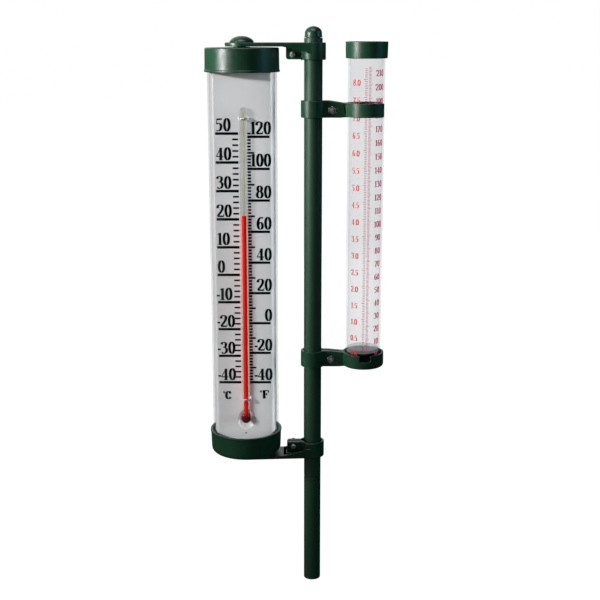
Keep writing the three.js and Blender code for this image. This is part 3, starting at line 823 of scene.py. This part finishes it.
def scale_plate():
    """A bent sheet: flat front, two wings, a dished hollow behind the bulb and slots for the clips."""
    low, high = span("scale_plate")
    x = (low.x + high.x) / 2
    front, thick = low.y, PLATE["thick"]
    wing = (high.x - low.x) / 2
    flat, bend = PLATE["half_flat"], PLATE["bend"]
    back = flat - 0.7 * thick
    sheet = prism(rounded([
        (x - wing, PLATE["wing_y"]), (x - flat, front, bend), (x + flat, front, bend),
        (x + wing, PLATE["wing_y"]), (x + wing - thick, PLATE["wing_y"]),
        (x + back, front + thick, bend - 0.7), (x - back, front + thick, bend - 0.7),
        (x - wing + thick, PLATE["wing_y"]),
    ]), low.z, high.z)
    dish_x = x + DISH["x"]
    half = (DISH["half_width"], DISH["depth"], DISH["half_height"])
    shell = [size + DISH["wall"] for size in half]
    swelling = ellipsoid(dish_x, front, DISH["z"], shell)
    ahead = box((x - 30, front - 20, low.z), (x + 30, front + thick / 2, high.z))
    sheet = join(sheet, cut(swelling, ahead))
    sheet = cut(sheet, ellipsoid(dish_x, front, DISH["z"], half))
    glass = upright("capillary_glass")
    leg = GLASS["radius"] + STAPLE["gap"] + STAPLE["thick"] / 2
    for node in ("lower_capillary_clip", "upper_capillary_clip"):
        clip_low, clip_high = span(node)
        for side in (-leg, leg):
            sheet = cut(sheet, box(
                (glass.x + side - 0.6, front - 1, clip_low.z - 0.3),
                (glass.x + side + 0.6, front + thick + 1, clip_high.z + 0.3),
            ))
    pip = cross_rod(0.7, x + 0.4, low.z + 13.6, front - 1, front + thick + 1)
    return eased(cut(sheet, pip), 0.12, 2)


def neck_profile(radius, bulb, centre, shoulder):
    """From a bulb's foot on the axis up to where its neck has drawn in to the radius."""
    leave = 20
    profile = arc((0, centre), (bulb, bulb), -90, leave, 14)
    profile[0].x = 0.0
    start, end = profile[-1], Vector((radius, centre + shoulder))
    low_hold = Vector((start.x, start.y + bulb * 0.35))
    high_hold = Vector((radius, end.y - bulb * 0.45))
    for i in range(1, 9):
        t = i / 8
        s = 1 - t
        profile.append(s ** 3 * start + 3 * s * s * t * low_hold + 3 * s * t * t * high_hold + t ** 3 * end)
    return profile


def bulb_centre():
    """Height of the middle of the bulb."""
    return upright("capillary_glass").low + GLASS["bulb_room"]


def capillary(node, spirit_top):
    """Two closed skins: the glass, with a rounded tip, and the fine empty bore above the spirit."""
    whole = upright(node)
    tip = GLASS["radius"]
    outer = neck_profile(GLASS["radius"], GLASS["bulb"], bulb_centre(), GLASS["shoulder"])
    made = lathe(outer + dome(GLASS["radius"], whole.high - tip, tip), SMALL)
    bore = GLASS["bore"]
    foot = spirit_top + FIT
    empty = lathe([(0, foot), (bore, foot)] + dome(bore, whole.high - 2 * tip, bore), SMALL)
    empty.data.flip_normals()
    bm = bmesh.new()
    bm.from_mesh(made.data)
    bm.from_mesh(empty.data)
    bm.to_mesh(made.data)
    bm.free()
    bpy.data.objects.remove(empty)
    return moved(made, whole.x, whole.y)


def spirit(node):
    whole = upright(node)
    centre = bulb_centre()
    profile = neck_profile(SPIRIT["radius"], SPIRIT["bulb"], centre, SPIRIT["shoulder"])
    profile += dome(SPIRIT["radius"], whole.high - 0.4, 0.4)
    return moved(lathe(profile, SMALL), whole.x, whole.y)


def staple(node):
    """A flat wire bent over the glass, with both legs through the plate."""
    low, high = span(node)
    x = (low.x + high.x) / 2
    outer = (high.x - low.x) / 2
    inner = outer - STAPLE["thick"]
    centre = low.y + outer
    outline = [(x - outer, high.y)] + arc((x, centre), (outer, outer), 180, 360, 24)
    outline += [(x + outer, high.y), (x + inner, high.y)]
    outline += arc((x, centre), (inner, inner), 360, 180, 24) + [(x - inner, high.y)]
    middle, half = (low.z + high.z) / 2, STAPLE["width"] / 2
    return eased(prism(outline, middle - half, middle + half), 0.12, 2)


def build_thermometer():
    body = "thermometer"
    tube = upright("thermometer_tube")
    wall = moved(pipe(tube, TUBE_WALL, TUBE_EDGE, ROUND), tube.x, tube.y)
    show_part(wall, "thermometer_tube", TUBE_CLEAR, body)
    build_caps(tube.radius + FIT)
    build_buttons()
    show_part(scale_plate(), "scale_plate", LACQUER, body)
    glass = capillary("capillary_glass", upright("spirit_column").high)
    show_part(glass, "capillary_glass", DRAWN_GLASS, body)
    show_part(spirit("spirit_column"), "spirit_column", SPIRIT_RED, body)
    for node in ("lower_capillary_clip", "upper_capillary_clip"):
        show_part(staple(node), node, LACQUER, body)


def build_caps(skirt):
    """Both caps, hollow out to the skirt. The bottom one is upside down."""
    top = upright("thermometer_top_cap")
    made = thermometer_cap(top.high - top.low - TOP_CAP["boss"], top.radius, skirt, TOP_CAP)
    show_green(moved(made, top.x, top.y, top.low), "thermometer_top_cap", "thermometer")
    bottom = upright("thermometer_bottom_cap")
    made = thermometer_cap(bottom.high - bottom.low - BOTTOM_CAP["boss"], bottom.radius, skirt, BOTTOM_CAP)
    made = moved(made, bottom.x, bottom.y, bottom.high, turned(180, "X"))
    show_green(made, "thermometer_bottom_cap", "thermometer")


def build_buttons():
    """Both pivot buttons. The lower one is upside down."""
    shank = BUTTON["shank_length"]
    upper = upright("upper_pivot_button")
    button = moved(pivot_button(upper.high - upper.low - shank), upper.x, upper.y, upper.low + shank)
    show_green(button, "upper_pivot_button", "thermometer")
    lower = upright("lower_pivot_button")
    button = pivot_button(BUTTON["low_height"])
    button = moved(button, lower.x, lower.y, lower.high - shank, turned(180, "X"))
    show_green(button, "lower_pivot_button", "thermometer")


# ---------------------------------------------------------------- rain tube

def build_gauge():
    tube = upright("gauge_tube")
    inner = tube.radius - GAUGE["wall"]
    floor, edge = GAUGE["floor_z"], GAUGE["edge"]
    wall = rounded([
        (0, floor - GAUGE["floor"]), (inner, floor - GAUGE["floor"], 0.5), (inner, tube.low, edge),
        (tube.radius, tube.low, edge), (tube.radius, tube.high, edge), (inner, tube.high, edge),
        (inner, floor, 0.8), (0, floor),
    ])
    made = moved(lathe(wall, ROUND), tube.x, tube.y)
    show_part(made, "gauge_tube", GAUGE_CLEAR, "gauge")
    ring = upright("gauge_collar")
    seat = tube.radius + FIT
    step = tube.high + FIT
    rim = rounded([
        (seat, ring.low, 0.3), (ring.radius - MOUTH["taper"], ring.low, MOUTH["edge"]),
        (ring.radius, ring.high, MOUTH["edge"]), (inner + MOUTH["funnel"], ring.high, 0.3),
        (inner, step + 0.4, 0.3), (inner, step), (seat, step, 0.2),
    ])
    show_green(moved(lathe(rim, ROUND), ring.x, ring.y), "gauge_collar", "gauge")


# ---------------------------------------------------------------- printed figures

def curve(*knots, steps=5):
    """A smooth line through the knots."""
    ends = [knots[0], *knots, knots[-1]]
    points = []
    for a, b, c, d in zip(ends, ends[1:], ends[2:], ends[3:]):
        for i in range(steps):
            t = i / steps
            point = []
            for p, q, r, s in zip(a, b, c, d):
                point.append(0.5 * (2 * q + (r - p) * t + (2 * p - 5 * q + 4 * r - s) * t ** 2
                                    + (3 * q - p - 3 * r + s) * t ** 3))
            points.append(Vector(point))
    return points + [Vector(knots[-1])]


def line(*knots):
    return [Vector(knot) for knot in knots]


def oval(x, y, half_width, half_height):
    return arc((x, y), (half_width, half_height), 0, 360, 28)


BROAD = (0.2, 0.06)  # a pen that is broad on upright strokes and thin on level ones
FOOT = (0.06, 0.06)
BAR = (0.12, 0.12)

# Each figure is its advance and its strokes, for a height of 1.
SIX = curve((0.49, 0.9), (0.38, 0.965), (0.22, 0.86), (0.12, 0.62), (0.11, 0.34), (0.18, 0.1), (0.3, 0.035),
            (0.42, 0.1), (0.475, 0.29), (0.42, 0.49), (0.3, 0.555), (0.18, 0.48), (0.125, 0.36))
FIGURES = {
    "0": (0.6, [(oval(0.3, 0.5, 0.19, 0.47), BROAD)]),
    "1": (0.42, [
        (line((0.22, 0.03), (0.22, 0.97)), BROAD),
        (line((0.03, 0.83), (0.12, 0.885), (0.22, 0.965)), FOOT),
        (line((0.04, 0.03), (0.4, 0.03)), FOOT),
    ]),
    "2": (0.6, [
        (curve((0.08, 0.7), (0.1, 0.87), (0.27, 0.965), (0.43, 0.88), (0.455, 0.7), (0.36, 0.47),
               (0.2, 0.25), (0.06, 0.075)), BROAD),
        (line((0.05, 0.065), (0.55, 0.065)), BAR),
        (line((0.525, 0.07), (0.555, 0.24)), FOOT),
    ]),
    "3": (0.6, [
        (curve((0.08, 0.78), (0.14, 0.92), (0.28, 0.965), (0.41, 0.87), (0.42, 0.7), (0.33, 0.57),
               (0.19, 0.53)), BROAD),
        (curve((0.19, 0.53), (0.36, 0.51), (0.465, 0.39), (0.46, 0.2), (0.34, 0.06), (0.2, 0.035),
               (0.08, 0.12)), BROAD),
    ]),
    "4": (0.62, [
        (line((0.38, 0.95), (0.05, 0.3)), FOOT),
        (line((0.03, 0.28), (0.59, 0.28)), (0.08, 0.08)),
        (line((0.39, 0.03), (0.39, 0.97)), BROAD),
        (line((0.24, 0.03), (0.54, 0.03)), FOOT),
    ]),
    "5": (0.6, [
        (line((0.12, 0.91), (0.52, 0.93)), BAR),
        (line((0.13, 0.95), (0.1, 0.54)), FOOT),
        (curve((0.1, 0.55), (0.24, 0.61), (0.39, 0.55), (0.455, 0.36), (0.4, 0.14), (0.24, 0.035),
               (0.06, 0.06)), BROAD),
    ]),
    "6": (0.6, [(SIX, BROAD)]),
    "7": (0.58, [
        (line((0.05, 0.9), (0.53, 0.91)), BAR),
        (line((0.07, 0.96), (0.05, 0.74)), FOOT),
        (curve((0.52, 0.93), (0.36, 0.6), (0.25, 0.3), (0.23, 0.0)), BROAD),
    ]),
    "8": (0.66, [(oval(0.33, 0.745, 0.155, 0.22), BROAD), (oval(0.33, 0.275, 0.205, 0.245), BROAD)]),
    "9": (0.6, [([Vector((0.6, 1)) - point for point in SIX], BROAD)]),
    "-": (0.26, [(line((0.02, 0.36), (0.26, 0.36)), (0.13, 0.13))]),
    ".": (0.24, [(line((0.06, 0.07), (0.19, 0.07)), (0.13, 0.13))]),
    "C": (0.74, [
        (curve((0.6, 0.72), (0.52, 0.9), (0.37, 0.965), (0.2, 0.84), (0.13, 0.5), (0.2, 0.16), (0.37, 0.035),
               (0.53, 0.1), (0.63, 0.26)), BROAD),
        (line((0.62, 0.97), (0.62, 0.66)), FOOT),
    ]),
    "F": (0.82, [
        (line((0.24, 0.03), (0.24, 0.97)), BROAD),
        (line((0.06, 0.96), (0.76, 0.96)), (0.08, 0.08)),
        (line((0.75, 0.99), (0.75, 0.68)), (0.08, 0.08)),
        (line((0.24, 0.52), (0.56, 0.52)), (0.08, 0.08)),
        (line((0.55, 0.66), (0.55, 0.38)), (0.08, 0.08)),
        (line((0.06, 0.03), (0.44, 0.03)), (0.08, 0.08)),
    ]),
    "o": (0.26, [(oval(0.13, 0.86, 0.08, 0.09), FOOT)]),
}


def add_stroke(bm, points, pen, place):
    """A raised closed ribbon along the points, as wide across as the pen is in that direction."""
    closed = (points[0] - points[-1]).length < 1e-6
    path = points[:-1] if closed else points
    rows = []
    for i, here in enumerate(path):
        before = path[i - 1] if closed or i else here
        after = path[(i + 1) % len(path)] if closed or i + 1 < len(path) else here
        along = (after - before).normalized()
        across = Vector((-along.y, along.x))
        half = across * math.hypot(pen[0] * across.x, pen[1] * across.y) / 2
        left, right = here + half, here - half
        rows.append([bm.verts.new(place(p, h)) for p, h in ((left, 0), (right, 0), (right, 1), (left, 1))])
    for first, second in zip(rows, rows[1:] + (rows[:1] if closed else [])):
        for i in range(4):
            j = (i + 1) % 4
            bm.faces.new((first[i], first[j], second[j], second[i]))
    if not closed:
        bm.faces.new(rows[0])
        bm.faces.new(rows[-1])


def text_width(text, size):
    return sum(FIGURES[figure][0] for figure in text) * size


def add_text(bm, text, left, foot, size, place, boldness=1.0):
    """Figures of the given height, from left along a printed surface."""
    for figure in text:
        advance, strokes = FIGURES[figure]
        origin = Vector((left, foot))
        for points, pen in strokes:
            scaled = [origin + point * size for point in points]
            add_stroke(bm, scaled, (pen[0] * size * boldness, pen[1] * size * boldness), place)
        left += advance * size


def add_bar(bm, left, right, height, thick, place, steps=1):
    points = [Vector((left + (right - left) * i / steps, height)) for i in range(steps + 1)]
    add_stroke(bm, points, (thick, thick), place)


def on_plate(x, front):
    """Places print on the flat plate: across from x and up from the frame's floor."""
    def place(point, height):
        return (x + point.x, front + INK_SUNK - height * INK, point.y)
    return place


def on_tube(tube, turn):
    """Wraps print round the tube: across is measured along its surface from the front, turned a little."""
    def place(point, height):
        radius = tube.radius - INK_SUNK + height * INK
        angle = math.radians(turn) + point.x / tube.radius
        return (tube.x + radius * math.sin(angle), tube.y - radius * math.cos(angle), point.y)
    return place


def celsius_z(degrees):
    return FREEZING_Z + degrees * PER_CELSIUS


def fahrenheit_z(degrees):
    return celsius_z((degrees - 32) / 1.8)


def print_celsius(bm, place):
    """Bars and figures every ten degrees, ticks every two."""
    left, right = CELSIUS["left"], CELSIUS["right"]
    for degrees in range(-40, 51, 2):
        z = celsius_z(degrees)
        if degrees % 10:
            add_bar(bm, right - CELSIUS["tick"], right, z, CELSIUS["thin"], place)
            continue
        add_bar(bm, left, right, z, CELSIUS["bar"], place)
        start = left + PLATE_FIGURES["minus_lead" if degrees < 0 else "lead"]
        foot = z + PLATE_FIGURES["lift"]
        add_text(bm, str(degrees), start, foot, PLATE_FIGURES["size"], place, PLATE_FIGURES["boldness"])


def print_fahrenheit(bm, place):
    """Bars and figures every twenty degrees, long ticks between them and short ticks every two."""
    left, size = FAHRENHEIT["left"], PLATE_FIGURES["size"]
    for degrees in range(-40, 124, 2):
        z = fahrenheit_z(degrees)
        if degrees % 20:
            length = FAHRENHEIT["tick"] if degrees % 10 else FAHRENHEIT["long"]
            add_bar(bm, left, left + length, z, FAHRENHEIT["thin"], place)
            continue
        text = str(degrees)
        add_bar(bm, left, FAHRENHEIT["right"], z, FAHRENHEIT["bar"], place)
        start = FAHRENHEIT["text"] - text_width(text, size)
        add_text(bm, text, start, z + PLATE_FIGURES["lift"], size, place, PLATE_FIGURES["boldness"])


def print_plate():
    """Both temperature scales, either side of the glass, over the names of their units."""
    low, high = span("scale_plate")
    place = on_plate((low.x + high.x) / 2, low.y)
    bm = bmesh.new()
    print_celsius(bm, place)
    print_fahrenheit(bm, place)
    size, z, boldness = UNITS["size"], UNITS["z"], UNITS["boldness"]
    add_text(bm, "oC", UNITS["left"], z, size, place, boldness)
    add_text(bm, "oF", UNITS["right"], z + UNITS["step"], size, place, boldness)
    show(as_object(bm), "thermometer_scale_print", BLACK_INK, "thermometer")


def rain_scale(side, marks, spacing, centre, size, drop, label):
    """One side of the rain scale, -1 left or 1 right. Every tenth mark is long and has a figure."""
    place = on_tube(upright("gauge_tube"), RAIN["turn"])
    bm = bmesh.new()
    for step in range(marks):
        z = GAUGE["floor_z"] + step * spacing
        numbered = step % 10 == 0
        length = RAIN["long"] if numbered else RAIN["tick"]
        left, right = sorted((side * RAIN["half_gap"], side * (RAIN["half_gap"] + length)))
        add_bar(bm, left, right, z, RAIN["thin"], place, 2)
        if numbered:
            text = label(step)
            add_text(bm, text, centre - text_width(text, size) / 2, z - drop, size, place, RAIN["boldness"])
    return as_object(bm)


def print_gauge():
    """Inches on the left and millimetres on the right of a thin gap."""
    inches = rain_scale(*INCHES, lambda step: f"{step / 20:.1f}")
    show(inches, "inch_scale_print", ORANGE_INK, "gauge")
    metric = rain_scale(*MILLIMETRES, str)
    show(metric, "millimetre_scale_print", CRIMSON_INK, "gauge")


# ---------------------------------------------------------------- stage

def floor_material():
    material, tree, shader = new_material("pale_floor")
    cloud = spread(tree, noise(tree, 3, 3), 0, 1)
    dark, light = srgb(*[FLOOR["dark"]] * 3), srgb(*[FLOOR["light"]] * 3)
    tree.links.new(mixed_colour(tree, cloud, dark, light), shader.inputs["Base Color"])
    shader.inputs["Roughness"].default_value = FLOOR["roughness"]
    shader.inputs["Emission Color"].default_value = (1, 1, 1, 1)
    shader.inputs["Emission Strength"].default_value = FLOOR["glow"]
    return material


def build_floor():
    bm = bmesh.new()
    bmesh.ops.create_grid(bm, x_segments=8, y_segments=8, size=FLOOR["half"])
    floor = as_object(bm)
    floor.name = "floor"
    floor.data.materials.append(floor_material())
    floor.visible_glossy = False
    floor.visible_diffuse = False


def softbox(name, place, target, width, height, power, colour, beam):
    """A rectangular lamp at place that faces target, with its beam that many degrees wide."""
    lamp = bpy.data.lights.new(name, "AREA")
    lamp.shape = "RECTANGLE"
    lamp.size = width
    lamp.size_y = height
    lamp.energy = power
    lamp.color = colour
    lamp.spread = math.radians(beam)
    made = bpy.data.objects.new(name, lamp)
    made.location = place
    made.rotation_mode = "QUATERNION"
    made.rotation_quaternion = (Vector(target) - Vector(place)).to_track_quat("-Z", "Y")
    bpy.context.scene.collection.objects.link(made)
    return made


def build_world():
    """White where it is looked at. It lights mostly from the left, and is darkest to the right."""
    world = bpy.data.worlds.new("studio")
    bpy.context.scene.world = world
    world.use_nodes = True
    tree = world.node_tree
    direction = add_node(tree, "TexCoord").outputs["Generated"]
    axes = add_node(tree, "SeparateXYZ", {0: direction})
    path = add_node(tree, "LightPath")

    def rightness(start, end):
        inputs = {"Value": axes.outputs["X"], "From Min": start, "From Max": end}
        return add_node(tree, "MapRange", inputs).outputs["Result"]

    lit = mixed_colour(tree, rightness(-1.0, 0.4), *LIT)
    side_glow = mixed_colour(tree, rightness(-0.95, 0.3), *SIDES)
    behind = add_node(tree, "MapRange", {"Value": axes.outputs["Y"], "From Min": 0.3, "From Max": 0.8})
    above = add_node(tree, "MapRange", {"Value": axes.outputs["Z"], "From Min": 0.0, "From Max": 0.12})
    glow = add_node(tree, "Math", operation="MULTIPLY")
    tree.links.new(behind.outputs["Result"], glow.inputs[0])
    tree.links.new(above.outputs["Result"], glow.inputs[1])
    backdrop = mixed_colour(tree, rightness(-0.1, 0.4), *BACKDROP)
    overhead = mixed_colour(tree, glow.outputs[0], side_glow, backdrop)
    mirrored = mixed_colour(tree, above.outputs["Result"], BELOW, overhead)
    colour = mixed_colour(tree, path.outputs["Is Diffuse Ray"], mirrored, lit)
    seen = add_node(tree, "Math", operation="MAXIMUM")
    tree.links.new(path.outputs["Is Camera Ray"], seen.inputs[0])
    tree.links.new(path.outputs["Is Transmission Ray"], seen.inputs[1])
    colour = mixed_colour(tree, seen.outputs[0], colour, (1, 1, 1, 1))
    tree.links.new(colour, tree.nodes["Background"].inputs["Color"])


def linked(name, state, pieces):
    """A collection that makes a lamp spare these pieces or pick them out."""
    made = bpy.data.collections.new(name)
    for piece in pieces:
        made.objects.link(bpy.data.objects[piece])
    for item in made.collection_objects:
        item.light_linking.link_state = state
    return made


def build_lights():
    """A low window to the left, a strip that only glints, soft lights behind and overhead, and a cool fill.

    The white scale has lamps of its own, from the front left for its face and from the right for its wing.
    """
    lamps = {name: softbox(name, *facts) for name, facts in LAMPS.items()}
    scale = ("scale_plate_part", "thermometer_scale_print", "thermometer_tube_part")
    passed = scale + ("capillary_glass_part", "spirit_column_part", "thermometer_top_cap_part")
    side = lamps["side"].light_linking
    side.receiver_collection = linked("spared_by_side", "EXCLUDE", scale)
    side.blocker_collection = linked("passed_by_side", "EXCLUDE", passed)
    for name in ("face", "wing"):
        lamps[name].light_linking.receiver_collection = linked("lit_by_" + name, "INCLUDE", scale[:1])
    for name in ("side", "back"):
        lamps[name].visible_glossy = False
    for name in ("strip", "overhead"):
        lamps[name].visible_diffuse = False


def build_camera():
    """The fitted view: a normal lens, slightly above the object and looking down."""
    camera = bpy.data.cameras.new("camera")
    camera.lens = CAMERA["lens"]
    camera.sensor_width = CAMERA["sensor"]
    camera.clip_start = CAMERA["near"]
    made = bpy.data.objects.new("camera", camera)
    made.location = CAMERA["place"]
    made.rotation_euler = (math.radians(90 - CAMERA["down"]), 0, 0)
    bpy.context.scene.collection.objects.link(made)
    bpy.context.scene.camera = made


build_pole()
build_thermometer_arms()
build_thermometer()
build_gauge_brackets()
build_gauge()
print_plate()
print_gauge()
build_floor()
build_world()
build_lights()
build_camera()
bpy.context.scene.view_settings.view_transform = "Standard"
